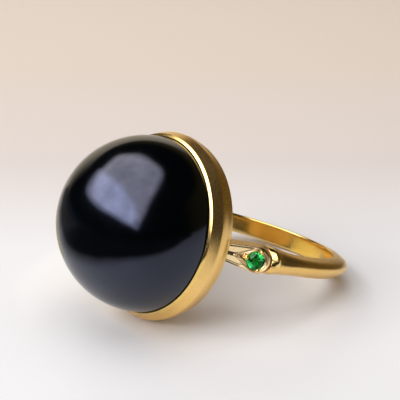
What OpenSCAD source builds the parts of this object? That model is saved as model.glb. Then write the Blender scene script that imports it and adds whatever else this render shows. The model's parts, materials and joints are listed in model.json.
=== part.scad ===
// Finger ring with one large round black jade bead in a bowl-shaped gold cup.
// The ring lies on its side, as it rests on a table: the bead looks along -Y and
// a little up, the shank runs back along +Y, and +X is one of the two shoulders.
// Lengths are in millimetres and angles in degrees.

/* [Finger ring] */
// Radius of the finger hole
bore_r = 8.25; // [8.15:0.05:8.45]
// Thickness of the shank at its back, from the finger to its crown
shank_t = 1.35; // [1.2:0.05:1.5]
// How far its outer side is set towards the bead, which makes the shoulders thicker
swell = 0.28; // [0.2:0.02:0.36]
// Width of the shank along the finger
shank_w = 1.75; // [1.6:0.05:2.0]
// Roundness of the shank's outer side, 2 is an ellipse
shank_q = 2; // [2:0.1:2.6]
// Width of the shank where it starts behind the collar
shoulder_w = 2.3; // [2.2:0.05:2.6]
// Distance in front of the ring's middle where the shank starts to widen
taper_from = 0.8; // [0.4:0.1:2]
// Radius of the curve along which the shank widens
taper_r = 19; // [15:0.5:30]

/* [Jade bead] */
// Radius of the bead
bead_r = 7.35; // [7.1:0.05:7.6]
// Distance of the bead's middle from the middle of the finger hole
bead_at = 11.6; // [11.4:0.05:12]
// Distance of the bead's flat back from the middle of the finger hole
bead_back = 9.35; // [9.3:0.05:9.6]
// Gap between the bead and the metal
bead_gap = 0.06; // [0.04:0.01:0.1]

/* [Cup] */
// Distance of the cup's rim from the middle of the finger hole
rim_at = 11.3; // [11.1:0.05:11.6]
// Wall of the cup at its rim
rim_wall = 0.38; // [0.3:0.01:0.45]
// Height of the polished lip at the rim
lip_h = 0.3; // [0.2:0.02:0.5]
// Depth of the small step behind the lip
lip_step = 0.06; // [0.03:0.01:0.1]
// How far the cup's widest circle stands out past the rim
bulge = 0.15; // [0.1:0.01:0.3]
// Depth of the widest circle below the rim
bulge_depth = 1.0; // [0.7:0.05:1.2]
// How much narrower the cup is where its back starts to round
back_in = 0.25; // [0.1:0.01:0.5]
// Radius that rounds the cup's back edge
back_round = 0.5; // [0.3:0.05:0.8]
// Distance of the cup's flat back from the middle of the finger hole
cup_back = 8.72; // [8.65:0.01:8.85]

/* [Shoulder heads] */
// Place of each green stone along the ring, as an angle from the side
head_angle = 36.5; // [35:0.5:38]
// Distance of the head's face from the middle of the finger hole
head_at = 10.25; // [10.1:0.05:10.5]
// Radius of the head's round end
head_r = 1.1; // [1.05:0.05:1.2]
// Radius of the head's narrow end
head_tip_r = 0.68; // [0.6:0.02:0.8]
// Length from the round end's middle to the narrow end's middle
head_len = 3.1; // [2.9:0.1:3.3]
// Width of the raised border around the head
border_w = 0.17; // [0.15:0.01:0.19]
// Depth of the field inside the border
field_depth = 0.12; // [0.08:0.01:0.2]
// Outer radius of the arched collar behind the head
collar_r = 1.75; // [1.7:0.05:1.9]
// Width of the groove between the head and the collar
collar_gap = 0.2; // [0.15:0.01:0.25]
// How far the collar lies below the head's face
collar_drop = 0.26; // [0.1:0.02:0.3]

/* [Green stones] */
// Radius of each green stone
gem_r = 0.74; // [0.7:0.01:0.76]
// How far it sits from the round end's middle towards the cup
gem_ahead = 0.1; // [0.05:0.01:0.15]
// How far it sits from the middle of the head along the finger
gem_aside = 0.07; // [0.04:0.01:0.09]
// How far its girdle lies below the head's face
gem_sink = 0.12; // [0.05:0.01:0.2]
// Radius of each of the three grains that hold it
grain_r = 0.18; // [0.16:0.01:0.2]
// How far the middle of each grain lies outside the stone's edge
grain_out = 0.08; // [0.06:0.01:0.1]
// Gap between a green stone and the metal
gem_gap = 0.03; // [0.02:0.01:0.05]

/* [Hidden] */
$fn = 96;

gold = [0.86, 0.70, 0.38];
black = [0.03, 0.03, 0.05];
green = [0.10, 0.50, 0.16];

base_r = bore_r + 0.12;                // where the shank's rounding starts, from its own axis
crown_r = bore_r + shank_t + swell;    // its crown, from its own axis
rim_r = bead_r + bead_gap;             // inner radius at the rim
lip_r = rim_r + rim_wall;              // outer radius at the rim
wide_r = lip_r + bulge;                // widest circle of the cup
wide_at = rim_at - bulge_depth;

// The shank's rounded outer side, from one straight side over the crown to the
// other: [distance from its own axis, place along the finger].
function crown(w, top, n = 14) =
    [for (i = [0 : n]) let (v = -90 + 180 * i / n)
        [base_r + (top - base_r) * pow(abs(cos(v)), 2 / shank_q),
         w / 2 * sign(v) * pow(abs(sin(v)), 2 / shank_q)]];

// Side of the cup from the rim to its flat back: [radius, distance from the ring's middle].
side_top = rim_at - lip_h - lip_step;
side_end = cup_back + back_round;
function side_r(z) = let (s = (wide_at - z) / (z > wide_at ? wide_at - side_top : wide_at - side_end))
    wide_r - (z > wide_at ? bulge : back_in) * s * s;
cup_side = concat(
    [[rim_r - 0.6, rim_at], [lip_r - 0.08, rim_at], [lip_r, rim_at - 0.08],
     [lip_r, rim_at - lip_h], [lip_r - lip_step, side_top]],
    [for (i = [1 : 9]) let (z = side_top + (side_end - side_top) * i / 9) [side_r(z), z]],
    [for (i = [1 : 5]) let (v = 90 * i / 5)
        [side_r(side_end) - back_round * (1 - cos(v)), side_end - back_round * sin(v)]]);

// The tilt at which the cup's lowest point and the shank's back both touch the table.
function low_cup(t) = max([for (p = cup_side) p[0] * cos(t) - p[1] * sin(t)]);
function low_back(t) = max([for (p = crown(shank_w, crown_r)) (p[0] - swell) * sin(t) - p[1] * cos(t)]);
function settle(a, b, n = 40) = let (m = (a + b) / 2)
    n == 0 ? m : low_cup(m) > low_back(m) ? settle(m, b, n - 1) : settle(a, m, n - 1);
tilt = settle(5, 40);
lift = low_cup(tilt);
front_y = -bead_at * cos(tilt) - bead_r;
back_y = max([for (p = crown(shank_w, crown_r)) (p[0] - swell) * cos(tilt) + p[1] * sin(tilt)]);
slide = -(front_y + back_y) / 2;

// The ring's own frame has the finger along Z and the bead along -Y.
module posed() translate([0, slide, lift]) rotate([-tilt, 0, 0]) children();
module along_bead() rotate([90, 0, 0]) children();
// Frame of a shoulder head: Z out of its face, Y towards the cup, X along the finger.
module at_head(side) mirror([side < 0 ? 1 : 0, 0, 0])
    rotate([0, 0, -head_angle]) rotate(180, [1, 0, 1]) children();

module shank() translate([0, -swell, 0]) rotate_extrude() polygon(concat([[bore_r - 1, -shank_w / 2]],
    crown(shank_w, crown_r), [[bore_r - 1, shank_w / 2]]));

// The wider start of the shank on both shoulders, trimmed to its taper.
module shoulders() intersection() {
    translate([0, -swell, 0]) rotate_extrude() polygon(concat([[bore_r - 1, -shoulder_w / 2 - 0.1]],
        crown(shoulder_w + 0.2, crown_r + 0.012), [[bore_r - 1, shoulder_w / 2 + 0.1]]));
    rotate([0, -90, 0]) translate([0, 0, -15]) linear_extrude(30) difference() {
        translate([-2, -5.4]) square([4, 5.4 - taper_from]);
        for (s = [-1, 1]) translate([s * (shank_w / 2 - 0.02 + taper_r), -taper_from]) circle(taper_r, $fn = 180);
    }
}

module cup_body() along_bead() rotate_extrude() polygon(concat([[0, rim_at]], cup_side, [[0, cup_back]]));
module bead_room() along_bead() intersection() {
    translate([0, 0, bead_at]) sphere(bead_r + bead_gap);
    translate([0, 0, bead_back - bead_gap]) cylinder(h = 20, r = 12);
}

// A drop shape: a round end, a narrow end and the two straight flanks between them.
module drop(r, tip, len) {
    k = asin((r - tip) / len);
    circle(r);
    translate([0, len]) circle(tip);
    polygon([[r * cos(k), r * sin(k)], [tip * cos(k), len + tip * sin(k)],
             [-tip * cos(k), len + tip * sin(k)], [-r * cos(k), r * sin(k)]]);
}
module head(side) at_head(side) translate([0, 0, head_at - 2.7]) linear_extrude(2.7) drop(head_r, head_tip_r, head_len);
module collar(side) at_head(side) intersection() {
    translate([0, 0, bore_r - 0.2]) cylinder(h = head_at - collar_drop - bore_r + 0.2, r = collar_r);
    translate([-shoulder_w / 2, -3, 0]) cube([shoulder_w, 3, 12]);
}
module groove(side) at_head(side) intersection() {
    translate([0, 0, head_at - 0.6]) cylinder(h = 3, r = head_r + collar_gap);
    translate([-3, -3, 0]) cube([6, 3.2, 15]);
}
module field(side) at_head(side) translate([0, 0, head_at - field_depth]) linear_extrude(2)
    drop(head_r - border_w, head_tip_r - border_w, head_len);

module gem_shape(r) {
    rotate_extrude($fn = 48) polygon([[0, -0.86 * r], [r, -0.04 * r], [r, 0], [0.56 * r, 0.32 * r], [0, 0.32 * r]]);
}
module at_gem(side) at_head(side) translate([-gem_aside, gem_ahead, head_at]) children();
module gem(side) at_gem(side) translate([0, 0, -gem_sink]) gem_shape(gem_r);
// The stone's own room: as the stone, a little larger all round.
module gem_room(side) at_gem(side) translate([0, 0, -gem_sink]) rotate_extrude($fn = 48)
    polygon([[0, -0.9 * gem_r - 0.03], [0.06, -0.9 * gem_r - 0.03], [gem_r + gem_gap, -0.06], [gem_r + gem_gap, 0.02],
             [0.56 * gem_r + gem_gap, 0.32 * gem_r + 0.04], [0, 0.32 * gem_r + 0.04]]);
// Three grains that lean over the stone's edge.
module grains(side) at_gem(side) for (v = [85, 205, 340])
    rotate([0, 0, v]) translate([gem_r + grain_out, 0, -0.5]) {
        cylinder(h = 0.56, r = grain_r, $fn = 20);
        translate([0, 0, 0.56]) sphere(grain_r, $fn = 20);
    }

module gold_setting() color(gold) posed() difference() {
    union() {
        difference() {
            union() {
                difference() {
                    union() {
                        shank();
                        shoulders();
                        for (s = [1, -1]) collar(s);
                    }
                    for (s = [1, -1]) groove(s);
                }
                for (s = [1, -1]) head(s);
            }
            for (s = [1, -1]) field(s);
        }
        for (s = [1, -1]) grains(s);
        cup_body();
    }
    for (s = [1, -1]) gem_room(s);
    bead_room();
    translate([0, 0, -15]) cylinder(h = 30, r = bore_r);
}

module jade_bead() color(black) posed() along_bead() intersection() {
    translate([0, 0, bead_at]) sphere(bead_r);
    translate([0, 0, bead_back]) cylinder(h = 20, r = 12);
}

module green_stone_right() color(green) posed() gem(1);
module green_stone_left() color(green) posed() gem(-1);

gold_setting();
jade_bead();
green_stone_right();
green_stone_left();
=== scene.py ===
import json
import math
import bpy
import bmesh
import numpy as np
from mathutils import Matrix, Vector


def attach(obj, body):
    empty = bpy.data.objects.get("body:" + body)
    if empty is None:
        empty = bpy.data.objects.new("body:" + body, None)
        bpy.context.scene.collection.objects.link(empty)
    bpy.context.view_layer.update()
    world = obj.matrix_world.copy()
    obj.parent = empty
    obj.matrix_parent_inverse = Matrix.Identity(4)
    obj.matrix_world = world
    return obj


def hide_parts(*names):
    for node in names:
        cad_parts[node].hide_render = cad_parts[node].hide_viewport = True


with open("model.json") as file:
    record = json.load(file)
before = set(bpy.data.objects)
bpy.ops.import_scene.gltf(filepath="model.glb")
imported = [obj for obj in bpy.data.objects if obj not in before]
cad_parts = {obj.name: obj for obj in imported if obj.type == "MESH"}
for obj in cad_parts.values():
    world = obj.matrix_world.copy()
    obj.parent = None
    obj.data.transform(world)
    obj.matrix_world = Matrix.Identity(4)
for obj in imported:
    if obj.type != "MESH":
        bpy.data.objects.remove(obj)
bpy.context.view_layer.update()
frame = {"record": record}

MM = 0.001

# ---------------------------------------------------------------- the ring's own frame
# finger along z, bead along -y, in millimetres; posed() puts it where the CAD has it
MOUNT = frame["record"]["mounts"][0]
CENTRE = Vector(MOUNT["pos_m"])
TILT = math.atan2(MOUNT["axis"][1], MOUNT["axis"][2])
POSE = Matrix.Translation(CENTRE) @ Matrix.Rotation(-TILT, 4, "X") @ Matrix.Scale(MM, 4)
ROT = np.array(POSE.to_3x3())
OFF = np.array(CENTRE)


def posed(P):
    return np.asarray(P, float) @ ROT.T + OFF


BORE_R, SHANK_T, SWELL, SHANK_W, SHANK_Q = 8.25, 1.35, 0.28, 1.75, 2.0
BASE_R = BORE_R + 0.12
BEAD_R, BEAD_AT, BEAD_BACK, BEAD_GAP = 7.35, 11.6, 9.35, 0.06
RIM_AT, RIM_WALL, LIP_H, LIP_STEP, BULGE, BULGE_DEPTH, BACK_IN, BACK_ROUND, CUP_BACK = 11.3, 0.38, 0.3, 0.06, 0.15, 1.0, 0.25, 0.5, 8.72
HEAD_ANGLE, HEAD_AT, HEAD_R, TIP_R, HEAD_LEN = math.radians(36.5), 10.25, 1.1, 0.68, 3.1
GEM_R, GEM_SINK, GEM_GAP, GEM_AHEAD, GEM_ASIDE = 0.74, 0.12, 0.03, 0.10, 0.07
GRAIN_R, GRAIN_OUT = 0.18, 0.08
GROOVE_R, SHOULDER_W = HEAD_R + 0.20, 2.3
RIM_R = BEAD_R + BEAD_GAP
LIP_R = RIM_R + RIM_WALL
WIDE_R = LIP_R + BULGE
WIDE_AT = RIM_AT - BULGE_DEPTH


def smooth(a, b, x):
    t = np.clip((np.asarray(x, float) - a) / (b - a), 0, 1)
    return t * t * (3 - 2 * t)


def from_head(a, b, c, side=1):
    """a along the finger, b towards the cup, c out of the head's face, to the ring's frame."""
    x = c * math.cos(HEAD_ANGLE) - b * math.sin(HEAD_ANGLE)
    y = -c * math.sin(HEAD_ANGLE) - b * math.cos(HEAD_ANGLE)
    return np.stack([side * x, y, a + 0 * x], -1)


# ---------------------------------------------------------------- mesh helpers
def new_object(name, verts, faces, mats=(), index=None, flat=False, sharp=None):
    me = bpy.data.meshes.new(name)
    me.from_pydata([tuple(v) for v in verts], [], [tuple(int(i) for i in f) for f in faces])
    for m in mats:
        me.materials.append(m)
    if index is not None:
        me.polygons.foreach_set("material_index", np.asarray(index, np.int32))
    bm = bmesh.new()
    bm.from_mesh(me)
    bmesh.ops.remove_doubles(bm, verts=bm.verts, dist=1e-8)
    bmesh.ops.dissolve_degenerate(bm, edges=bm.edges, dist=1e-9)
    bmesh.ops.recalc_face_normals(bm, faces=bm.faces)
    bm.to_mesh(me)
    bm.free()
    me.polygons.foreach_set("use_smooth", [not flat] * len(me.polygons))
    if sharp is not None:
        me.set_sharp_from_angle(angle=math.radians(sharp))
    me.update()
    ob = bpy.data.objects.new(name, me)
    bpy.context.scene.collection.objects.link(ob)
    return ob


def loops_to_faces(n, m, close_n=False, close_m=True):
    """Quads of a grid of n rows of m points."""
    out = []
    for i in range(n if close_n else n - 1):
        for j in range(m if close_m else m - 1):
            a, b = i, (i + 1) % n
            c, d = j, (j + 1) % m
            out.append((a * m + c, a * m + d, b * m + d, b * m + c))
    return out


def lathe(name, prof, mats, pick, n=288, sharp=40, second=None, share=None):
    """Revolves [radius, distance from the ring's middle] about the bead's direction. The
    first and last points lie on the axis. pick(k) gives the material of profile step k.
    share gives by angle how much of the second profile shows."""
    prof = np.asarray(prof, float)
    ph = np.arange(n) * 2 * math.pi / n
    inner = np.repeat(prof[1:-1, None, :], n, 1)
    if second is not None:
        w = share(ph)[None, :, None]
        inner = inner * (1 - w) + np.asarray(second, float)[1:-1, None, :] * w
    V = np.stack([inner[..., 0] * np.cos(ph), -inner[..., 1], inner[..., 0] * np.sin(ph)], -1).reshape(-1, 3)
    V = np.vstack([V, [[0, -prof[0, 1], 0], [0, -prof[-1, 1], 0]]])
    F = loops_to_faces(len(inner), n)
    I = [pick(k + 1) for k in range(len(inner) - 1) for _ in range(n)]
    p, q, last = len(V) - 2, len(V) - 1, (len(inner) - 1) * n
    for j in range(n):
        F.append((p, (j + 1) % n, j))
        I.append(pick(0))
        F.append((q, last + j, last + (j + 1) % n))
        I.append(pick(len(inner)))
    return new_object(name, posed(V), F, mats, I, sharp=sharp)


# ---------------------------------------------------------------- materials
def node(nt, kind, at=(0, 0), **values):
    n = nt.nodes.new(kind)
    n.location = at
    for k, v in values.items():
        if k.startswith("i_"):
            n.inputs[k[2:].replace("_", " ")].default_value = v
        else:
            setattr(n, k, v)
    return n


def base(name):
    m = bpy.data.materials.new(name)
    m.use_nodes = True
    nt = m.node_tree
    nt.nodes.clear()
    out = node(nt, "ShaderNodeOutputMaterial", (900, 0))
    bsdf = node(nt, "ShaderNodeBsdfPrincipled", (600, 0))
    nt.links.new(bsdf.outputs["BSDF"], out.inputs["Surface"])
    tex = node(nt, "ShaderNodeTexCoord", (-1000, 0))
    return m, nt, bsdf, tex.outputs["Object"]


def noise(nt, vec, scale, detail=2.0, rough=0.5, at=(-700, 0), stretch=None):
    if stretch:
        mp = node(nt, "ShaderNodeMapping", (at[0] - 200, at[1]))
        mp.inputs["Scale"].default_value = stretch
        nt.links.new(vec, mp.inputs["Vector"])
        vec = mp.outputs["Vector"]
    n = node(nt, "ShaderNodeTexNoise", at)
    n.inputs["Scale"].default_value = scale
    n.inputs["Detail"].default_value = detail
    n.inputs["Roughness"].default_value = rough
    nt.links.new(vec, n.inputs["Vector"])
    return n.outputs["Fac"]


def remap(nt, fac, lo, hi, at=(-300, 0), a=0.3, b=0.7):
    r = node(nt, "ShaderNodeMapRange", at)
    r.inputs["From Min"].default_value = a
    r.inputs["From Max"].default_value = b
    r.inputs["To Min"].default_value = lo
    r.inputs["To Max"].default_value = hi
    nt.links.new(fac, r.inputs["Value"])
    return r.outputs["Result"]


def tint(nt, fac, colours, at=(-300, 200)):
    r = node(nt, "ShaderNodeValToRGB", at)
    el = r.color_ramp.elements
    for k, (pos, col) in enumerate(colours):
        e = el[k] if k < 2 else el.new(pos)
        e.position = pos
        e.color = (*col, 1)
    nt.links.new(fac, r.inputs["Fac"])
    return r.outputs["Color"]


def bump(nt, height, strength, distance, at=(300, -300), after=None):
    b = node(nt, "ShaderNodeBump", at)
    b.inputs["Strength"].default_value = strength
    b.inputs["Distance"].default_value = distance
    nt.links.new(height, b.inputs["Height"])
    if after is not None:
        nt.links.new(after, b.inputs["Normal"])
    return b.outputs["Normal"]


def make_satin_gold():
    m, nt, s, co = base("satin_gold")
    s.inputs["Metallic"].default_value = 1.0
    cloud = noise(nt, co, 420, 3, 0.5, (-700, 300))
    col = tint(nt, cloud, [(0.30, (0.87, 0.560, 0.175)), (0.55, (0.91, 0.600, 0.205)), (0.75, (0.94, 0.635, 0.235))])
    nt.links.new(col, s.inputs["Base Color"])
    grain = noise(nt, co, 16000, 3, 0.6, (-700, 0))
    nt.links.new(remap(nt, grain, 0.25, 0.32, (-300, 0)), s.inputs["Roughness"])
    fine = noise(nt, co, 30000, 2, 0.6, (-700, -300))
    n1 = bump(nt, fine, 0.25, 0.0000025, (0, -300))
    wave = noise(nt, co, 900, 2, 0.4, (-700, -600))
    nt.links.new(bump(nt, wave, 0.25, 0.00001, (300, -300), n1), s.inputs["Normal"])
    return m


def make_polished_gold():
    m, nt, s, co = base("polished_gold")
    s.inputs["Metallic"].default_value = 1.0
    cloud = noise(nt, co, 700, 2, 0.5, (-700, 300))
    col = tint(nt, cloud, [(0.3, (0.93, 0.66, 0.22)), (0.7, (0.96, 0.70, 0.27))])
    nt.links.new(col, s.inputs["Base Color"])
    wipe = noise(nt, co, 6000, 3, 0.6, (-700, 0), stretch=(1, 1, 5))
    nt.links.new(remap(nt, wipe, 0.12, 0.20, (-300, 0)), s.inputs["Roughness"])
    wave = noise(nt, co, 1500, 2, 0.5, (-700, -300))
    nt.links.new(bump(nt, wave, 0.3, 0.00001, (300, -300)), s.inputs["Normal"])
    return m


def make_burnished_gold():
    m, nt, s, co = base("burnished_gold")
    s.inputs["Metallic"].default_value = 1.0
    cloud = noise(nt, co, 600, 2, 0.5, (-700, 300))
    col = tint(nt, cloud, [(0.3, (0.92, 0.645, 0.185)), (0.7, (0.95, 0.68, 0.215))])
    nt.links.new(col, s.inputs["Base Color"])
    wipe = noise(nt, co, 5000, 3, 0.6, (-700, 0))
    nt.links.new(remap(nt, wipe, 0.17, 0.23, (-300, 0)), s.inputs["Roughness"])
    wave = noise(nt, co, 1300, 2, 0.5, (-700, -300))
    nt.links.new(bump(nt, wave, 0.3, 0.000012, (300, -300)), s.inputs["Normal"])
    return m


# a paler, less saturated copy of the gold for the heads' faces: painted highlight, standing in for the cream reflection
# of the softbox on them
def make_highlight_pale_gold():
    m, nt, s, co = base("pale_gold_painted_highlight")
    s.inputs["Metallic"].default_value = 1.0
    cloud = noise(nt, co, 2200, 3, 0.6, (-700, 300))
    col = tint(nt, cloud, [(0.3, (0.90, 0.70, 0.36)), (0.7, (0.95, 0.76, 0.44))])
    nt.links.new(col, s.inputs["Base Color"])
    wipe = noise(nt, co, 7000, 3, 0.6, (-700, 0))
    nt.links.new(remap(nt, wipe, 0.17, 0.26, (-300, 0)), s.inputs["Roughness"])
    wave = noise(nt, co, 2600, 3, 0.5, (-700, -300))
    nt.links.new(bump(nt, wave, 0.35, 0.000012, (300, -300)), s.inputs["Normal"])
    return m


# darker, rougher gold for the head's cut lines and the groove by the collar: partly patina in the hollows, partly
# painted shade
def make_patina_and_shade_gold():
    m, nt, s, co = base("recess_patina_and_painted_shade_gold")
    s.inputs["Metallic"].default_value = 1.0
    cloud = noise(nt, co, 3000, 3, 0.6, (-700, 300))
    col = tint(nt, cloud, [(0.3, (0.50, 0.34, 0.13)), (0.7, (0.68, 0.48, 0.20))])
    nt.links.new(col, s.inputs["Base Color"])
    nt.links.new(remap(nt, cloud, 0.34, 0.50, (-300, 0)), s.inputs["Roughness"])
    fine = noise(nt, co, 20000, 2, 0.6, (-700, -300))
    nt.links.new(bump(nt, fine, 0.4, 0.000004, (300, -300)), s.inputs["Normal"])
    return m


def make_jade():
    m, nt, s, co = base("black_jade")
    cloud = noise(nt, co, 260, 5, 0.62, (-700, 300))
    col = tint(nt, cloud, [(0.35, (0.0003, 0.0006, 0.0008)), (0.55, (0.0005, 0.0009, 0.0013)), (0.75, (0.0010, 0.0018, 0.0020))])
    nt.links.new(col, s.inputs["Base Color"])
    s.inputs["IOR"].default_value = 1.62
    # bluish specular tint: painted reflection colour, the window's bluish daylight laid into every reflection on the
    # bead
    s.inputs["Specular Tint"].default_value = (0.63, 0.73, 1.0, 1)
    smear = noise(nt, co, 900, 4, 0.6, (-700, 0))
    nt.links.new(remap(nt, smear, 0.105, 0.140, (-300, 0)), s.inputs["Roughness"])
    pit = noise(nt, co, 5200, 4, 0.65, (-700, -300))
    nt.links.new(bump(nt, pit, 0.08, 0.000003, (300, -300)), s.inputs["Normal"])
    return m


def make_green():
    m, nt, s, co = base("green_stone")
    cloud = noise(nt, co, 2600, 3, 0.6, (-700, 300))
    col = tint(nt, cloud, [(0.3, (0.010, 0.33, 0.05)), (0.7, (0.05, 0.62, 0.15))])
    nt.links.new(col, s.inputs["Base Color"])
    s.inputs["IOR"].default_value = 1.66
    s.inputs["Transmission Weight"].default_value = 0.95
    s.inputs["Specular Tint"].default_value = (0.34, 0.62, 0.42, 1)
    nt.links.new(remap(nt, cloud, 0.010, 0.035, (-300, 0)), s.inputs["Roughness"])
    return m


SATIN, POLISHED, PATINA_AND_SHADE = make_satin_gold(), make_polished_gold(), make_patina_and_shade_gold()
BURNISHED, PALE_HIGHLIGHT = make_burnished_gold(), make_highlight_pale_gold()
JADE, GREEN = make_jade(), make_green()
GOLD = (SATIN, POLISHED, PATINA_AND_SHADE, BURNISHED, PALE_HIGHLIGHT)


# ---------------------------------------------------------------- jade bead
def make_bead():
    back = math.acos(-(BEAD_AT - BEAD_BACK) / BEAD_R)      # polar angle where the flat back begins
    prof = [[0, BEAD_AT + BEAD_R]]
    for t in np.linspace(0, back - 0.012, 150)[1:]:
        prof.append([BEAD_R * math.sin(t), BEAD_AT + BEAD_R * math.cos(t)])
    r = BEAD_R * math.sin(back)
    prof += [[r - 0.02, BEAD_BACK + 0.03], [r - 0.09, BEAD_BACK], [r * 0.6, BEAD_BACK], [r * 0.3, BEAD_BACK], [0, BEAD_BACK]]
    ob = lathe("jade_bead_dome", prof, [JADE], lambda k: 0, n=320, sharp=35)
    return ob


# ---------------------------------------------------------------- cup
def cup_profile(out, tilt0, tilt1, power):
    """Profile of the cup, with the lip's bevel out wide, leaning from tilt0 at the bead to tilt1."""
    P, M = [], []

    def add(r, z, m):
        P.append([r, z])
        M.append(m)
    # the burnished bevel of the lip, from its outer edge in
    tilt = np.radians(np.linspace(tilt1, tilt0, 15))
    k = (out - 0.030) / np.cos(tilt).sum()
    fall = np.sin(tilt).sum() * k + 0.006
    end_r, end_z = RIM_R + out, RIM_AT - fall
    # back, from the axis outwards
    end = CUP_BACK + BACK_ROUND
    edge = WIDE_R - BACK_IN - BACK_ROUND
    for r in (0, 2.0, 4.0, 5.5, 6.6):
        add(r, CUP_BACK, 0)
    for v in np.linspace(0, 90, 13):
        add(edge + BACK_ROUND * math.sin(math.radians(v)), end - BACK_ROUND * math.cos(math.radians(v)), 0)
    # side: widest at WIDE_AT, drawn in to the back and to the lip
    for s in np.linspace(1, 0, 22)[1:]:
        add(WIDE_R - BACK_IN * s * s, WIDE_AT - (WIDE_AT - end) * s, 0)
    for s in np.linspace(0, 1, 26)[1:]:
        add(WIDE_R - (WIDE_R - end_r) * s ** power, WIDE_AT + (end_z - WIDE_AT) * s, 0)
    M[-1] = 3
    r, z = end_r, end_z
    for a in tilt:
        r, z = r - math.cos(a) * k, z + math.sin(a) * k
        add(r, z, 3)
    z += 0.006
    add(RIM_R + 0.008, z, 3)
    add(RIM_R, z - 0.008, 0)
    room = BEAD_R + BEAD_GAP
    floor = BEAD_BACK - BEAD_GAP
    for z in np.linspace(RIM_AT - 0.05, floor, 16):
        add(math.sqrt(room ** 2 - (z - BEAD_AT) ** 2), z, 0)
    for r in (6.0, 4.0, 2.0, 0):
        add(r, floor, 0)
    return P, M


def make_cup():
    P, M = cup_profile(0.235, 16, 30, 1.0)
    P2, _ = cup_profile(0.130, 60, 76, 1.0)
    # the bevel is rubbed down more steeply on the side that faces the floor
    return lathe("cup", P, GOLD, lambda k: M[k], n=264, sharp=32, second=P2, share=lambda ph: smooth(0.20, -0.22, np.sin(ph)))


# ---------------------------------------------------------------- shank
def circle_from(alpha, r):
    """Distance from the ring's middle to a circle set SWELL towards the bead."""
    return SWELL * math.sin(alpha) + math.sqrt(r * r - (SWELL * math.cos(alpha)) ** 2)


def head_half(b):
    """Half the head's width at b along it."""
    return HEAD_R - (HEAD_R - TIP_R) * np.clip(b / HEAD_LEN, 0, 1)


MEAN = 9.98


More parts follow.
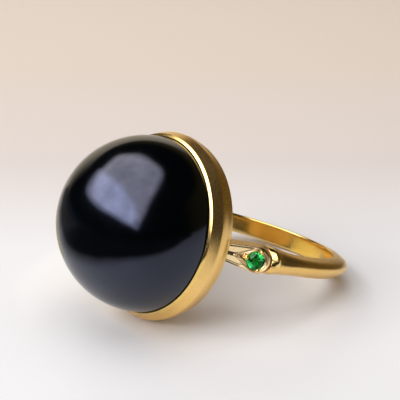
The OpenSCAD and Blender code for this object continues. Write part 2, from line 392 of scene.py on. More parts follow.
def make_shank():
    lines = []   # (b0, kappa, zone) or (alpha, 0, "a")
    G = GROOVE_R
    a_s = HEAD_ANGLE + math.asin(-4.6 / MEAN)
    for a in np.linspace(-math.pi / 2, a_s, 72)[:-1]:
        lines.append(("a", a, 0))
    for t in np.linspace(0, 1, 34)[:-1]:
        lines.append(("b", -4.6 + t * 2.35, float(smooth(0, 1, t))))
    for b0 in np.linspace(-2.25, -G - 0.08, 50):
        lines.append(("b", b0, 1.0))
    for e in (0.055, 0.035, 0.020, 0.010, 0.004, 0.001):
        lines.append(("b", -G - e, 1.0))
    lines.append(("w", -G, 1.0))
    lines.append(("w", -G + 0.004, 1.0))
    lines.append(("g", -G + 0.015, 1.0))
    lines.append(("g", -G + 0.04, 1.0))
    for b0, k in ((-1.15, 0.9), (-0.9, 0.72), (-0.6, 0.5), (-0.3, 0.3), (0.0, 0.15), (0.3, 0.05), (0.6, 0.0)):
        lines.append(("g", b0, k))
    for b0 in np.linspace(0.8, 3.4, 14):
        lines.append(("g", b0, 0.0))
    a_e = HEAD_ANGLE + math.asin(3.4 / MEAN)
    for a in np.linspace(a_e, math.pi / 2, 17)[1:]:
        lines.append(("t", a, 0))
    nv = 44
    rows = []
    rmin = G - 0.03
    for zone, p, kap in lines:
        if zone in "at":
            alpha0, b0 = p, MEAN * math.sin(p - HEAD_ANGLE)
        else:
            b0 = p
            alpha0 = HEAD_ANGLE + math.asin(b0 / MEAN)
        s = -b0 - G - 0.45                                            # how far behind the collar
        hw, hs = SHANK_W / 2, SHOULDER_W / 2
        if zone in "ab":
            h = hw + (hs - hw) * max(0.0, 1 - max(s, 0) / 3.0) ** 2
            top = circle_from(alpha0, BORE_R + SHANK_T + SWELL)
            q = SHANK_Q
        elif zone in "wg":
            h = hs - 0.10 * float(smooth(-1.0, 0.0, b0)) if b0 < 0.0 else float(head_half(b0)) - 0.05
            if b0 > -0.2:
                h = float(head_half(max(b0, 0.0))) - 0.05
            top = 9.66
            q = 3.0
        else:
            w = float(smooth(math.radians(60), math.radians(68), alpha0))
            h = 0.60 * (1 - w) + hw * w
            top = min(9.5, 9.2 / math.sin(alpha0))
            q = 2.6
        ri = 0.10
        basr = max(circle_from(alpha0, BASE_R), BORE_R + ri + 0.01)
        if zone in "wgt":
            basr = BORE_R + 0.35
        sec = []
        for u in np.linspace(-h + ri, h - ri, 6):
            sec.append((u, BORE_R, 0))
        for v in (30, 60, 90):
            v = math.radians(v)
            sec.append((h - ri + ri * math.sin(v), BORE_R + ri - ri * math.cos(v), 0))
        for v in np.linspace(90, -90, nv + 1):
            v = math.radians(v)
            cu = math.copysign(abs(math.sin(v)) ** (2 / q), v)
            co = abs(math.cos(v)) ** (2 / q) if abs(math.cos(v)) > 1e-9 else 0.0
            crest = 0.15 * (1 - kap) if zone in "ab" else 0.0
            sec.append((h * cu + crest * (1 - cu * cu), basr + (top - basr) * co, 1))
        for v in (90, 60, 30):
            v = math.radians(v)
            sec.append((-h + ri - ri * math.sin(v), BORE_R + ri - ri * math.cos(v), 0))
        row = []
        for u, rho, outer in sec:
            if zone in "at":
                al, bend = alpha0, 0.0
            else:
                rr = max(-b0, rmin)
                bend = kap * (rr - math.sqrt(max(rr * rr - u * u, 0)))
                al = HEAD_ANGLE + math.asin(max(-1, min(1, (b0 + bend) / MEAN)))
            if outer and zone in "ab":
                # the true distance from the head's middle, and the collar's raised lip there
                d = math.hypot(u, b0 + bend)
                side = float(smooth(0.0, 0.30, (rho - basr) / (top - basr)))
                rise = float(np.clip((d - G) / 0.54, 0, 1))
                lift = (-0.155 + 0.255 * rise) * float(smooth(G + 0.76, G + 0.58, d)) * (0.03 + 0.97 * float(smooth(-0.30, 0.22, u)))
                if d < G + 0.03:
                    k = (G + 0.03 - d) / 0.03
                    lift -= 0.03 * (1 - math.sqrt(max(0.0, 1 - k * k)))
                full = float(smooth(2.5, 1.7, d))                     # the collar's section is fuller
                rho2 = basr + (top - basr) * max(0.0, 1 - abs(u / h) ** 2.6) ** (1 / 2.6)
                rho = rho * (1 - full) + rho2 * full + lift * side
            row.append((rho * math.cos(al), -rho * math.sin(al), u))
        rows.append(row)
    right = np.array(rows)
    left = right[::-1][1:-1].copy()
    left[..., 0] *= -1
    both = np.concatenate([right, left])
    n, m = both.shape[:2]
    zones = [l[0] for l in lines]
    zl = zones[::-1][1:-1]
    allz = zones + zl
    b_of = [l[1] if l[0] != "a" and l[0] != "t" else None for l in lines]
    b_all = b_of + b_of[::-1][1:-1]
    F = loops_to_faces(n, m, close_n=True)
    I = []
    for i in range(n):
        z, b0 = allz[i], b_all[i]
        z2, b2 = allz[(i + 1) % n], b_all[(i + 1) % n]
        polished = b0 is not None and b2 is not None and -G - 0.74 < min(b0, b2) and max(b0, b2) <= -G
        # the groove by the collar and the part under the head take the darker gold: partly patina, partly painted shade
        patina_shade_zone = z in "wg" or z2 in "wg"
        for j in range(m):
            out = 8 <= j < 8 + nv + 1
            I.append(2 if patina_shade_zone and out and not polished else 1 if polished and out and j < 33 else 0 if out else 3)
    return new_object("shank", posed(both.reshape(-1, 3)), F, GOLD, I, sharp=38)


# ---------------------------------------------------------------- shoulder heads
def inward(u, v):
    """Distance from the head's outline, positive inside."""
    u, v = np.abs(u), np.asarray(v, float)
    b = (HEAD_R - TIP_R) / HEAD_LEN
    a = math.sqrt(1 - b * b)
    k = -b * u + a * v
    d = np.where(k < 0, np.hypot(u, v) - HEAD_R, np.where(k > a * HEAD_LEN, np.hypot(u, v - HEAD_LEN) - TIP_R, a * u + b * v - HEAD_R))
    return -d


SEAT_R = GEM_R + GEM_GAP


def drop_in(u, v, big, tip, length):
    """Distance from a drop's outline, positive inside: big round end, tip round end length away."""
    u = np.abs(u)
    b = (big - tip) / length
    a = math.sqrt(1 - b * b)
    k = -b * u + a * v
    return -np.where(k < 0, np.hypot(u, v) - big, np.where(k > a * length, np.hypot(u, v - length) - tip, a * u + b * v - big))


def nest(u, v):
    """Distance inside the drop cut round the stone."""
    return drop_in(u + 0.5 * GEM_ASIDE, v - 0.5 * GEM_AHEAD, 0.93, 0.08, 1.74)


def head_face(u, v):
    """Height of the head's face over (u, v): rounded border, hollow field, nested drops and the stone's seat."""
    d = inward(u, v)
    t = nest(u, v)
    r = np.hypot(u + GEM_ASIDE, v - GEM_AHEAD)
    h = np.full(np.shape(d), HEAD_AT, float)
    e = np.clip((0.20 - d) / 0.20, 0, 1)
    h -= 0.19 * (1 - np.sqrt(1 - e * e))
    # the plate falls away from its border, less on the side that faces the floor
    x = np.clip(d - 0.20, 0, 0.9)
    high = (0.36 * x - 0.17 * x * x * smooth(1.3, 0.6, v)) * (0.35 + 0.65 * smooth(-0.25, 0.25, u))
    low = 0.02 + 0.30 * (0.55 - x)
    away = smooth(0.65, 1.55, v) * smooth(0.14, -0.24, u)
    h -= high * (1 - away) + low * away * smooth(0.0, 0.10, d) + 0.016 * smooth(0.20, 0.24, d)
    # nested drops
    h -= 0.040 * smooth(-0.02, 0.02, t)
    for at, up in ((-0.045, 0.018), (0.105, 0.024), (0.225, 0.022)):
        h += up * np.exp(-((t - at) / 0.032) ** 2)
    h += 0.10 * np.clip(t - 0.02, 0, 0.5)
    # raised seat edge round the stone
    h += 0.05 * np.exp(-((r - (SEAT_R + 0.045)) / 0.035) ** 2)
    return h


def make_head(side):
    name = "head_right" if side > 0 else "head_left"
    # directions from the stone's middle: finer towards the narrow end
    t = np.linspace(0, 1, 301)[:-1]
    phi = 2 * math.pi * t
    phi = math.pi / 2 + (phi - math.pi) - 0.62 * np.sin(phi - math.pi)
    n = len(phi)
    c, s = np.cos(phi), np.sin(phi)
    lo, hi = np.full(n, 0.2), np.full(n, 4.5)
    for _ in range(44):
        mid = (lo + hi) / 2
        inside = inward(-GEM_ASIDE + mid * c, GEM_AHEAD + mid * s) > 0
        lo, hi = np.where(inside, mid, lo), np.where(inside, hi, mid)
    O = lo
    # rings from the seat to the edge
    lam = np.concatenate([np.linspace(0, 0.72, 39)[:-1], np.linspace(0.72, 1.0, 27)])
    rings, M = [], []

    def ring(r, z, m):
        u, v = -GEM_ASIDE + r * c, GEM_AHEAD + r * s
        rings.append(from_head(u, v, (z(u, v) if callable(z) else z) + 0 * phi, side))
        M.append(m)
    # the stone's seat, from its bottom up
    for r, z in ((0.10, -0.70), (0.40, -0.42), (0.66, -0.17), (SEAT_R - 0.015, -0.06), (SEAT_R - 0.004, -0.01)):
        ring(np.full(n, r), HEAD_AT - GEM_SINK + z, 1)
    first = len(rings)
    # the face takes the pale gold: painted highlight
    for l in lam:
        ring(SEAT_R + (O - SEAT_R) * l, head_face, 4)
    # the wall down to the finger hole

    def down(u, v):
        return np.sqrt((BORE_R + 0.02) ** 2 - v ** 2)
    for drop_ in (0.185, 0.30, 0.6, 1.1):
        ring(O, HEAD_AT - drop_, 0)
    ring(O, down, 0)
    for l in (0.75, 0.4, 0.1):
        ring(O * l, down, 0)
    V = np.concatenate(rings)
    F = loops_to_faces(len(rings), n)
    I = [M[k + 1] for k in range(len(rings) - 1) for _ in range(n)]
    # darker gold in the cut lines: partly patina, partly painted shade in the hollows
    for k in range(len(lam) - 1):
        l = (lam[k] + lam[k + 1]) / 2
        r = SEAT_R + (O - SEAT_R) * l
        u, v = -GEM_ASIDE + r * c, GEM_AHEAD + r * s
        t = nest(u, v)
        low = ((np.abs(t - 0.03) < 0.026) | (np.abs(t - 0.165) < 0.024)) & (r > SEAT_R + 0.09)
        for j in np.nonzero(low)[0]:
            I[(first + k) * n + j] = 2
    p = len(V)
    mid = from_head(np.array([-GEM_ASIDE]), np.array([GEM_AHEAD]), np.array([HEAD_AT - GEM_SINK - 0.71]), side)
    V = np.vstack([V, mid, from_head(np.array([-GEM_ASIDE]), np.array([GEM_AHEAD]), np.array([BORE_R + 0.02]), side)])
    last = (len(rings) - 1) * n
    for j in range(n):
        F.append((p, (j + 1) % n, j))
        I.append(1)
        F.append((p + 1, last + j, last + (j + 1) % n))
        I.append(0)
    return new_object(name, posed(V), F, GOLD, I, sharp=50)


def make_grain(side, ang, k):
    """One round-topped bead of metal that leans over the stone's edge."""
    prof = [(0.0, 0.24)]
    for t in np.linspace(12, 132, 15):
        t = math.radians(t)
        prof.append((GRAIN_R * math.sin(t), 0.24 - GRAIN_R * (1 - math.cos(t))))
    prof += [(GRAIN_R * 0.70, -0.10), (GRAIN_R * 0.70, -0.30)]
    n = 32
    ph = np.arange(n) * 2 * math.pi / n

    def centre(z):
        # the foot stands outside the stone's seat, the ball leans over it
        r0 = GEM_R + GRAIN_OUT + 0.16 * float(smooth(0.06, -0.10, z))
        return -GEM_ASIDE + r0 * math.cos(ang), GEM_AHEAD + r0 * math.sin(ang)
    V = []
    for r, z in prof:
        cu, cv = centre(z)
        if r == 0:
            V.append(from_head(np.array([cu]), np.array([cv]), np.array([HEAD_AT + z]), side))
        else:
            V.append(from_head(cu + r * np.cos(ph), cv + r * np.sin(ph), HEAD_AT + z + 0 * ph, side))
    cu, cv = centre(-0.4)
    V.append(from_head(np.array([cu]), np.array([cv]), np.array([HEAD_AT - 0.36]), side))
    V = np.concatenate(V)
    F = [(0, 1 + j, 1 + (j + 1) % n) for j in range(n)]
    for i in range(len(prof) - 2):
        for j in range(n):
            a = 1 + i * n
            F.append((a + j, a + n + j, a + n + (j + 1) % n, a + (j + 1) % n))
    e = 1 + (len(prof) - 2) * n
    F += [(len(V) - 1, e + (j + 1) % n, e + j) for j in range(n)]
    return new_object("grain_%d_%d" % (side, k), posed(V), F, GOLD, [1] * len(F), sharp=60)


# ---------------------------------------------------------------- green stones
def make_gem(side):
    R = GEM_R
    rt, tc, tp = 0.56 * R, math.tan(math.radians(33)), math.tan(math.radians(41.2))
    g = 0.018 * R * 2
    hc = (R - rt) * tc
    hp = R * tp
    V, F = [], []

    def add(r, a, z):
        V.append((r * math.cos(a), r * math.sin(a), z))
        return len(V) - 1
    st = math.pi / 8
    T = [add(rt, 2 * st * k, hc) for k in range(8)]
    rm = 0.79 * R
    Mv = [add(rm, 2 * st * k + st, (R - rm * math.cos(st)) * tc) for k in range(8)]
    G = [add(R, st * k, 0.0) for k in range(16)]
    G2 = [add(R, st * k, -g) for k in range(16)]
    rn = 0.24 * R
    N = [add(rn, 2 * st * k + st, -g - hp + rn * math.cos(st) * tp) for k in range(8)]
    culet = add(0, 0, -g - hp)
    F.append(tuple(T))
    for k in range(8):
        a, b = T[k], T[(k + 1) % 8]
        F.append((a, Mv[k], b))                                  # star
        F.append((T[k], Mv[k - 1], G[2 * k]))                    # kite, as two
        F.append((T[k], G[2 * k], Mv[k]))
        F.append((Mv[k], G[2 * k], G[2 * k + 1]))                # upper girdle facets
        F.append((Mv[k], G[2 * k + 1], G[(2 * k + 2) % 16]))
        F.append((culet, N[k], G2[2 * k]))                       # pavilion main
        F.append((culet, G2[2 * k], N[k - 1]))
        F.append((N[k], G2[2 * k + 1], G2[2 * k]))
        F.append((N[k], G2[(2 * k + 2) % 16], G2[2 * k + 1]))
    for k in range(16):
        F.append((G[k], G2[k], G2[(k + 1) % 16], G[(k + 1) % 16]))
    V = np.array(V)
    turn = 0.52
    u = V[:, 0] * math.cos(turn) - V[:, 1] * math.sin(turn)
    v = V[:, 0] * math.sin(turn) + V[:, 1] * math.cos(turn)
    P = from_head(u - GEM_ASIDE, v + GEM_AHEAD, HEAD_AT - GEM_SINK + V[:, 2], side)
    return new_object("green_stone_cut_" + ("right" if side > 0 else "left"), posed(P), F, [GREEN], flat=True)


# ---------------------------------------------------------------- one soldered body of gold
def to_millimetres(ob, back=False):
    """Moves the mesh to the ring's own frame in millimetres, or back to the scene's metres."""
    co = np.empty(len(ob.data.vertices) * 3)
    ob.data.vertices.foreach_get("co", co)
    P = co.reshape(-1, 3)
    P = posed(P) if back else (P - OFF) @ ROT / MM / MM
    ob.data.vertices.foreach_set("co", P.ravel())
    ob.data.update()


def measured(me):
    """Open edges and volume of a mesh."""
    bm = bmesh.new()
    bm.from_mesh(me)
    bad, volume = sum(not e.is_manifold for e in bm.edges), bm.calc_volume()
    bm.free()
    return bad, volume


def unite(parts, name):
    """One closed body, united part by part in millimetres, where the solver closes every edge."""
    for p in parts:
        to_millimetres(p)
    body = parts[0]
    _, volume = measured(body.data)
    for other in parts[1:]:
        # a hair's shift helps the solver where edges of two parts nearly meet
        for shift in (0.0, 0.0005, -0.002, 0.005, -0.009, 0.013):
            other.location = (shift, 0.7 * shift, 0.4 * shift)
            mod = body.modifiers.new("union", "BOOLEAN")
            mod.operation = "UNION"
            mod.operand_type = "OBJECT"
            mod.object = other
            mod.solver = "EXACT"
            mod.material_mode = "INDEX"
            bpy.context.view_layer.update()
            dg = bpy.context.evaluated_depsgraph_get()
            me = bpy.data.meshes.new_from_object(body.evaluated_get(dg))
            body.modifiers.clear()
            bad, now = measured(me)
            if bad == 0 and now >= volume - 1e-3:
                body.data, volume = me, now
                bpy.data.objects.remove(other)
                break
        else:
            print("not united:", other.name, bad, now)
            other.location = (0, 0, 0)
            with bpy.context.temp_override(active_object=body, object=body, selected_objects=[body, other], selected_editable_objects=[body, other]):
                bpy.ops.object.join()
    bad, volume = measured(body.data)
    print("united", name, "faces", len(body.data.polygons), "open edges", bad, "volume mm3 %.1f" % volume)
    to_millimetres(body, True)
    body.name = body.data.name = name
    body.data.polygons.foreach_set("use_smooth", [True] * len(body.data.polygons))
    body.data.set_sharp_from_angle(angle=math.radians(36))
    return body


bead = make_bead()
grain_angles = [math.radians(a) for a in (85, 205, 340)]
parts = []
for s in (1, -1):
    parts += [make_head(s)] + [make_grain(s, a, k) for k, a in enumerate(grain_angles)]
    parts += [make_shank()] if s > 0 else [make_cup()]
setting = unite(parts, "gold_setting_body")
gem_right, gem_left = make_gem(1), make_gem(-1)

for piece, cad, slot in ((setting, "gold_setting", "satin_gold"), (bead, "jade_bead", "black_jade"),
                         (gem_right, "green_stone_right", "green_stone"), (gem_left, "green_stone_left", "green_stone")):
    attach(piece, "root")
    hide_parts(cad)

# ---------------------------------------------------------------- camera
PSI, EL, ROLL = math.radians(51.0356), math.radians(20.8670), math.radians(-0.1656)
F_OVER_D, DIST, TX, TY = math.exp(2.4040), 96.0, -3.862, 3.397
fwd = Vector((-math.sin(PSI) * math.cos(EL), math.cos(PSI) * math.cos(EL), -math.sin(EL)))
right0 = Vector((math.cos(PSI), math.sin(PSI), 0))
up0 = right0.cross(fwd)
right = right0 * math.cos(ROLL) + up0 * math.sin(ROLL)
up = up0 * math.cos(ROLL) - right0 * math.sin(ROLL)
eye = CENTRE + (right * TX + up * TY - fwd * DIST) * MM
cam_data = bpy.data.cameras.new("camera")
cam_data.sensor_width = 36.0
cam_data.lens = F_OVER_D * DIST / 400 * 36
cam_data.clip_start, cam_data.clip_end = 0.005, 5.0
cam = bpy.data.objects.new("camera", cam_data)
bpy.context.scene.collection.objects.link(cam)
cam.matrix_world = Matrix.Translation(eye) @ Matrix((right, up, -fwd)).transposed().to_4x4()
bpy.context.scene.camera = cam


# ---------------------------------------------------------------- floor and light
def make_floor():
    n, rings = 96, [0.0, 12, 24, 36, 60, 100, 200, 400, 900]
    V = [(0, 0, 0)]
    for r in rings[1:]:
        V += [(r * MM * math.cos(2 * math.pi * k / n), r * MM * math.sin(2 * math.pi * k / n), 0) for k in range(n)]
    F = [(0, 1 + k, 1 + (k + 1) % n) for k in range(n)]
    for i in range(len(rings) - 2):
        a = 1 + i * n
        F += [(a + k, a + n + k, a + n + (k + 1) % n, a + (k + 1) % n) for k in range(n)]
    m = bpy.data.materials.new("floor")
    m.use_nodes = True
    nt = m.node_tree
    s = nt.nodes["Principled BSDF"]
    tex = node(nt, "ShaderNodeTexCoord", (-1200, 0))
    # white round the ring, a warmer pale tone far behind it
    dot = node(nt, "ShaderNodeVectorMath", (-1000, 0), operation="DOT_PRODUCT")
    dot.inputs[1].default_value = (-0.777, 0.629, 0)
    nt.links.new(tex.outputs["Object"], dot.inputs[0])
    col = tint(nt, remap(nt, dot.outputs["Value"], 0, 1, (-800, 0), 0.010, 0.080),
               [(0.0, (0.80, 0.79, 0.80)), (0.35, (0.70, 0.635, 0.61)), (1.0, (0.72, 0.62, 0.55))], (-500, 200))
    nt.links.new(col, s.inputs["Base Color"])
    s.inputs["Roughness"].default_value = 0.30
    s.inputs["IOR"].default_value = 1.34
    ob = new_object("floor", V, F, [m])
    return ob


floor = make_floor()
floor.location.z = -0.00002

BEAD_MID = Vector(posed(np.array([0, -BEAD_AT, 0])))


def glow(name, colour, strength):
    m = bpy.data.materials.new(name)
    m.use_nodes = True
    nt = m.node_tree
    nt.nodes.clear()
    out = node(nt, "ShaderNodeOutputMaterial", (400, 0))
    em = node(nt, "ShaderNodeEmission", (200, 0))
    em.inputs["Color"].default_value = (*colour, 1)
    em.inputs["Strength"].default_value = strength
    # clear from its back
    geo = node(nt, "ShaderNodeNewGeometry", (0, 300))
    clear = node(nt, "ShaderNodeBsdfTransparent", (0, -200))
    ms = node(nt, "ShaderNodeMixShader", (300, 0))
    nt.links.new(geo.outputs["Backfacing"], ms.inputs[0])
    nt.links.new(em.outputs["Emission"], ms.inputs[1])
    nt.links.new(clear.outputs[0], ms.inputs[2])
    nt.links.new(ms.outputs[0], out.inputs["Surface"])
    return m


def card(name, V, F, colour, strength):
    """Part of the studio that shows in reflections only."""
    me = bpy.data.meshes.new(name)
    me.from_pydata([tuple(v) for v in V], [], F)
    if sum((BEAD_MID - f.center).dot(f.normal) for f in me.polygons) < 0:
        me.flip_normals()
    me.materials.append(glow(name, colour, strength))
    ob = bpy.data.objects.new(name, me)
    bpy.context.scene.collection.objects.link(ob)
    ob.visible_camera = False
    ob.visible_shadow = False
    ob.visible_diffuse = False
    return ob


def faded(ob, weights, cloud=0.0):
    """Lets a card fade by the weight of its points, and makes its light a little uneven."""
    at = ob.data.attributes.new("fade", "FLOAT", "POINT")
    at.data.foreach_set("value", weights)
    nt = ob.data.materials[0].node_tree
    last = [x for x in nt.nodes if x.type == "MIX_SHADER"][0]
    fade = node(nt, "ShaderNodeAttribute", (-400, 0), attribute_name="fade")
    clear = node(nt, "ShaderNodeBsdfTransparent", (0, 500))
    ms = node(nt, "ShaderNodeMixShader", (600, 0))
    nt.links.new(fade.outputs["Fac"], ms.inputs[0])
    nt.links.new(clear.outputs[0], ms.inputs[1])
    nt.links.new(last.outputs[0], ms.inputs[2])
    nt.links.new(ms.outputs[0], [x for x in nt.nodes if x.type == "OUTPUT_MATERIAL"][0].inputs["Surface"])
    if cloud:
        em = [x for x in nt.nodes if x.type == "EMISSION"][0]
        full = em.inputs["Strength"].default_value
        co = node(nt, "ShaderNodeTexCoord", (-800, 300))
        spots = noise(nt, co.outputs["Object"], 38, 3, 0.6, (-600, 300))
        nt.links.new(remap(nt, spots, full * (1 - cloud), full * (1 + cloud), (-300, 300)), em.inputs["Strength"])
    return ob


def panel(name, edge, reach, colour, strength, soft=0.05):
    """A soft panel of light: directions round the bead, reach millimetres away, fading at its edge."""
    E = np.array(edge, float)
    for _ in range(2):
        # rounded corners
        N = np.roll(E, -1, 0)
        E = np.stack([0.75 * E + 0.25 * N, 0.25 * E + 0.75 * N], 1).reshape(-1, 3)
    c = E.mean(0)
    V, W = [c], [1.0]
    steps = [0.35, 0.65, 0.85, 1 - soft, 1 + soft]
    for k, l in enumerate(steps):
        V += list(c + (E - c) * l)
        W += [0.0 if k == len(steps) - 1 else 1.0] * len(E)
    V = np.array(V)
    V = V / np.linalg.norm(V, axis=1)[:, None] * reach
    n = len(E)
    F = [(0, 1 + k, 1 + (k + 1) % n) for k in range(n)]
    for i in range(len(steps) - 1):
        a = 1 + i * n
        F += [(a + k, a + n + k, a + n + (k + 1) % n, a + (k + 1) % n) for k in range(n)]
    return faded(card(name, [BEAD_MID + Vector(v) * MM for v in V], F, colour, strength), W, 0.22)


FAN = [
    (-0.610, -0.470, 0.620), (-0.650, -0.350, 0.670), (-0.659, -0.270, 0.700), (-0.656, -0.122, 0.745), (-0.651, 0.054, 0.757),
    (-0.515, 0.141, 0.845), (-0.406, 0.233, 0.884), (-0.174, 0.252, 0.952), (0.022, 0.28, 0.96), (0.18, 0.263, 0.948),
    (0.324, 0.155, 0.933), (0.476, -0.056, 0.878), (0.575, -0.27, 0.772), (0.668, -0.494, 0.557), (0.672, -0.629, 0.39),
    (0.620, -0.640, 0.440), (0.540, -0.680, 0.490), (0.373, -0.720, 0.550), (0.107, -0.720, 0.640), (-0.117, -0.690, 0.660),
    (-0.330, -0.620, 0.670),
]
STRIP = [
    (-0.621, -0.613, 0.489), (-0.659, -0.412, 0.629), (-0.652, -0.293, 0.699), (-0.461, -0.4, 0.792), (-0.249, -0.465, 0.85),
    (-0.06, -0.502, 0.863), (0.118, -0.537, 0.835), (0.285, -0.552, 0.783), (0.397, -0.566, 0.722), (0.495, -0.594, 0.634),
    (0.55, -0.611, 0.569), (0.610, -0.640, 0.470), (0.630, -0.665, 0.400), (0.625, -0.715, 0.305), (0.540, -0.765, 0.345),
    (0.340, -0.845, 0.410), (0.092, -0.878, 0.470), (-0.172, -0.862, 0.476), (-0.408, -0.768, 0.490),
]
panel("softbox_wide", FAN, 120, (1.0, 0.90, 0.90), 3.7, soft=0.15)
panel("softbox_strip", STRIP, 100, (0.90, 0.86, 1.0), 6.8, soft=0.28)

# a dark card on the floor in front of the ring and a dim brown card behind it on its right, seen only in reflections:
# painted shade in front, painted reflection of a darker room behind
FRONT = [(-95, 2), (-62, -11), (-27, -18), (-14.5, -19.5), (-11, -21.5), (-7, -23.2), (-3.7, -24.8), (0, -25.3), (4.4, -27.2), (9.5, -27.3),
         (16.3, -27), (24, -23), (33, -17), (50, -8), (90, 10), (150, 60)]
BEHIND = [(26 * math.sin(math.radians(a)), -26 * math.cos(math.radians(a))) for a in range(158, 231, 8)]
for name, rim, colour, soft in (("dark_card_front_painted_shade", FRONT, (0.03, 0.03, 0.03), (0.38, 0.29, 0.18, 0.17, 0.12)), ("brown_card_behind_painted_reflection", BEHIND, (0.110, 0.076, 0.024), (0.08, 0.08, 0.08, 0.08, 0.08))):
    n = len(rim)
    V, W = [], []
    for k, (x, y) in enumerate(rim):
        e = float(np.interp(math.degrees(math.atan2(x, -y)), (-80, -50, -25, 0, 60), soft))
        full = 1.0 - 0.16 * (name == "dark_card_front_painted_shade") * float(smooth(-30, -60, math.degrees(math.atan2(x, -y))))
        for f, w in ((1 - e, 0.0), (1 + e, full), (45.0, full)):
            V.append((x * MM * f, y * MM * f, 0.0001))
            W.append(w)
    F = [(3 * k + i, 3 * k + 3 + i, 3 * k + 4 + i, 3 * k + 1 + i) for k in range(n - 1) for i in range(2)]
    faded(card(name, V, F, colour, 1.0), W)


# a warm glowing card standing at the ring's left, seen only in reflections: painted reflection of a warm wall
V, W = [], []
for a in range(-44, -117, -8):
    x, y = 17 * math.sin(math.radians(a)), -17 * math.cos(math.radians(a))
    for z, w in ((0.05, 1.0), (5.0, 1.0), (8.0, 0.0)):
        V.append((x * MM, y * MM, z * MM))
        W.append(w)
F = [(3 * k + i, 3 * k + 3 + i, 3 * k + 4 + i, 3 * k + 1 + i) for k in range(len(V) // 3 - 1) for i in range(2)]
faded(card("warm_card_left_painted_reflection", V, F, (0.84, 0.72, 0.42), 1.0), W)


def area(name, az, el, dist, size, power, colour=(1, 1, 1)):
    """A soft light that falls on the floor; az from the bead's direction, el above the floor."""
    d = bpy.data.lights.new(name, "AREA")
    d.shape = "RECTANGLE"
    d.size, d.size_y = size
    d.energy = power
    d.color = colour
    o = bpy.data.objects.new(name, d)
    bpy.context.scene.collection.objects.link(o)
    a, e = math.radians(az), math.radians(el)
    o.location = Vector((math.sin(a) * math.cos(e), -math.cos(a) * math.cos(e), math.sin(e))) * dist
    o.rotation_mode = "QUATERNION"
    o.rotation_quaternion = (-o.location).to_track_quat("-Z", "Y")
    o.visible_glossy = False
    o.visible_camera = False
    return o


area("front", -4, 35, 0.60, (0.64, 0.42), 4.50, (1.0, 0.995, 1.0))
area("left", -94, 40, 0.60, (0.64, 0.30), 1.05, (1.0, 0.995, 1.0))
area("above", 150, 84, 0.60, (0.57, 0.57), 1.85, (1.0, 0.99, 1.0))


def window(nt, value, a, b, soft, at):
    """1 between a and b, falling to 0 over soft on either side."""
    up = node(nt, "ShaderNodeMapRange", at, interpolation_type="SMOOTHSTEP")
    up.inputs["From Min"].default_value, up.inputs["From Max"].default_value = a - soft, a + soft
    dn = node(nt, "ShaderNodeMapRange", (at[0], at[1] - 250), interpolation_type="SMOOTHSTEP")
    dn.inputs["From Min"].default_value, dn.inputs["From Max"].default_value = b - soft, b + soft
    dn.inputs["To Min"].default_value, dn.inputs["To Max"].default_value = 1, 0
    nt.links.new(value, up.inputs["Value"])
    nt.links.new(value, dn.inputs["Value"])
    m = node(nt, "ShaderNodeMath", (at[0] + 200, at[1]), operation="MULTIPLY")
    nt.links.new(up.outputs["Result"], m.inputs[0])
    nt.links.new(dn.outputs["Result"], m.inputs[1])
    return m.outputs[0]


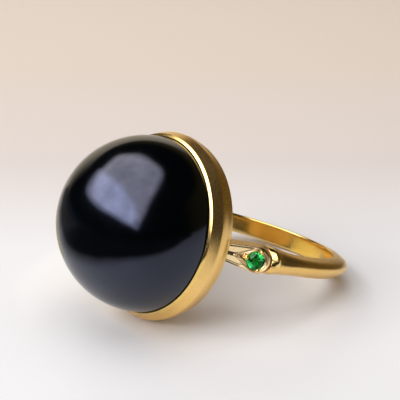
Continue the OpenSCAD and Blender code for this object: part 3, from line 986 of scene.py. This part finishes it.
def make_world():
    w = bpy.data.worlds.new("studio")
    bpy.context.scene.world = w
    w.use_nodes = True
    nt = w.node_tree
    nt.nodes.clear()
    out = node(nt, "ShaderNodeOutputWorld", (900, 0))
    tex = node(nt, "ShaderNodeTexCoord", (-1400, 0))
    sep = node(nt, "ShaderNodeSeparateXYZ", (-1200, 0))
    nt.links.new(tex.outputs["Generated"], sep.inputs[0])
    # a warm wall behind the ring on its left, low above the floor
    turn = node(nt, "ShaderNodeMath", (-1000, 100), operation="ARCTAN2")
    nt.links.new(sep.outputs["Y"], turn.inputs[0])
    back = node(nt, "ShaderNodeMath", (-1000, -100), operation="MULTIPLY")
    back.inputs[1].default_value = -1.0
    nt.links.new(sep.outputs["X"], back.inputs[0])
    nt.links.new(back.outputs[0], turn.inputs[1])
    # the turn is 0 at the ring's left and grows towards its back
    across = window(nt, turn.outputs[0], math.radians(2), math.radians(60), math.radians(14), (-800, 100))
    upward = window(nt, sep.outputs["Z"], -0.3, 0.40, 0.05, (-800, -400))
    mul = node(nt, "ShaderNodeMath", (-300, 0), operation="MULTIPLY")
    nt.links.new(across, mul.inputs[0])
    nt.links.new(upward, mul.inputs[1])
    # the brown room right behind
    rear = window(nt, sep.outputs["Y"], 0.45, 1.5, 0.25, (-800, -900))
    room = node(nt, "ShaderNodeMix", (-300, -300), data_type="RGBA")
    room.inputs["A"].default_value = (0.006, 0.006, 0.006, 1)
    room.inputs["B"].default_value = (0.100, 0.072, 0.024, 1)
    low = window(nt, sep.outputs["Z"], -0.5, 0.55, 0.08, (-800, -1400))
    both = node(nt, "ShaderNodeMath", (-500, -600), operation="MULTIPLY")
    nt.links.new(rear, both.inputs[0])
    nt.links.new(low, both.inputs[1])
    nt.links.new(both.outputs[0], room.inputs["Factor"])
    # a faint glow of the room in front of the ring on its left
    near = window(nt, turn.outputs[0], math.radians(-65), math.radians(5), math.radians(32), (-800, -1900))
    level = window(nt, sep.outputs["Z"], -0.4, 0.06, 0.07, (-800, -2400))
    dim = node(nt, "ShaderNodeMath", (-500, -1900), operation="MULTIPLY")
    nt.links.new(near, dim.inputs[0])
    nt.links.new(level, dim.inputs[1])
    haze = node(nt, "ShaderNodeMix", (-200, -300), data_type="RGBA")
    nt.links.new(dim.outputs[0], haze.inputs["Factor"])
    nt.links.new(room.outputs["Result"], haze.inputs["A"])
    haze.inputs["B"].default_value = (0.075, 0.080, 0.100, 1)
    mix = node(nt, "ShaderNodeMix", (-100, 0), data_type="RGBA")
    nt.links.new(haze.outputs["Result"], mix.inputs["A"])
    mix.inputs["B"].default_value = (0.78, 0.66, 0.49, 1)
    nt.links.new(mul.outputs[0], mix.inputs["Factor"])
    studio = node(nt, "ShaderNodeBackground", (200, 0))
    nt.links.new(mix.outputs["Result"], studio.inputs["Color"])
    plain = node(nt, "ShaderNodeBackground", (200, -200))
    plain.inputs["Color"].default_value = (0.70, 0.62, 0.56, 1)
    lp = node(nt, "ShaderNodeLightPath", (200, 300))
    ms = node(nt, "ShaderNodeMixShader", (600, 0))
    nt.links.new(lp.outputs["Is Camera Ray"], ms.inputs[0])
    nt.links.new(studio.outputs[0], ms.inputs[1])
    nt.links.new(plain.outputs[0], ms.inputs[2])
    nt.links.new(ms.outputs[0], out.inputs["Surface"])


make_world()
bpy.context.scene.view_settings.view_transform = "Standard"
bpy.context.scene.view_settings.look = "None"
